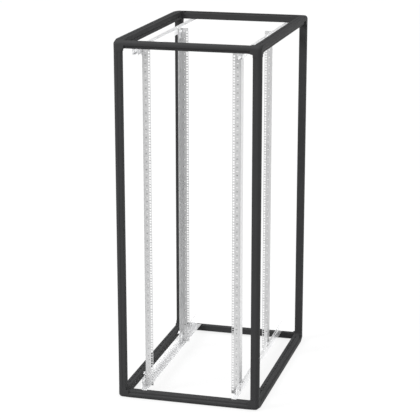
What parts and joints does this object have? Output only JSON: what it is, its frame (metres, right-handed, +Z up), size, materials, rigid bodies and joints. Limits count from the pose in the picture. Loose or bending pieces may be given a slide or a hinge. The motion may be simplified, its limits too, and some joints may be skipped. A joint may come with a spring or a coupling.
{
  "type": "four post open frame rack",
  "caption": "Tall open rack frame of dark roll-formed members with ball corners, holding zinc plated mounting angles with square holes for 19 inch equipment.",
  "frame": {"origin": "middle of the base, at floor level", "axes": "+Z up, along the height; the front faces -Y; +X to the right as seen from the front, along the width"},
  "size_m": [0.8, 1.2, 2],
  "materials": {
    "frame_coating": "satin powder coat, anthracite",
    "zinc_plate": "zinc plated sheet steel, satin"
  },
  "bodies": {
    "root": {"clamp_bottom_front_left": "zinc_plate", "clamp_bottom_front_right": "zinc_plate", "clamp_bottom_rear_left": "zinc_plate", "clamp_bottom_rear_right": "zinc_plate", "clamp_top_front_left": "zinc_plate", "clamp_top_front_right": "zinc_plate", "clamp_top_rear_left": "zinc_plate", "clamp_top_rear_right": "zinc_plate", "corner_bottom_front_left": "frame_coating", "corner_bottom_front_right": "frame_coating", "corner_bottom_rear_left": "frame_coating", "corner_bottom_rear_right": "frame_coating", "corner_top_front_left": "frame_coating", "corner_top_front_right": "frame_coating", "corner_top_rear_left": "frame_coating", "corner_top_rear_right": "frame_coating", "depth_rail_bottom_left": "zinc_plate", "depth_rail_bottom_right": "zinc_plate", "depth_rail_top_left": "zinc_plate", "depth_rail_top_right": "zinc_plate", "mounting_angle_front_left": "zinc_plate", "mounting_angle_front_right": "zinc_plate", "mounting_angle_rear_left": "zinc_plate", "mounting_angle_rear_right": "zinc_plate", "post_front_left": "frame_coating", "post_front_right": "frame_coating", "post_rear_left": "frame_coating", "post_rear_right": "frame_coating", "rail_bottom_front": "frame_coating", "rail_bottom_left": "frame_coating", "rail_bottom_rear": "frame_coating", "rail_bottom_right": "frame_coating", "rail_top_front": "frame_coating", "rail_top_left": "frame_coating", "rail_top_rear": "frame_coating", "rail_top_right": "frame_coating"}
  },
  "joints": []
}
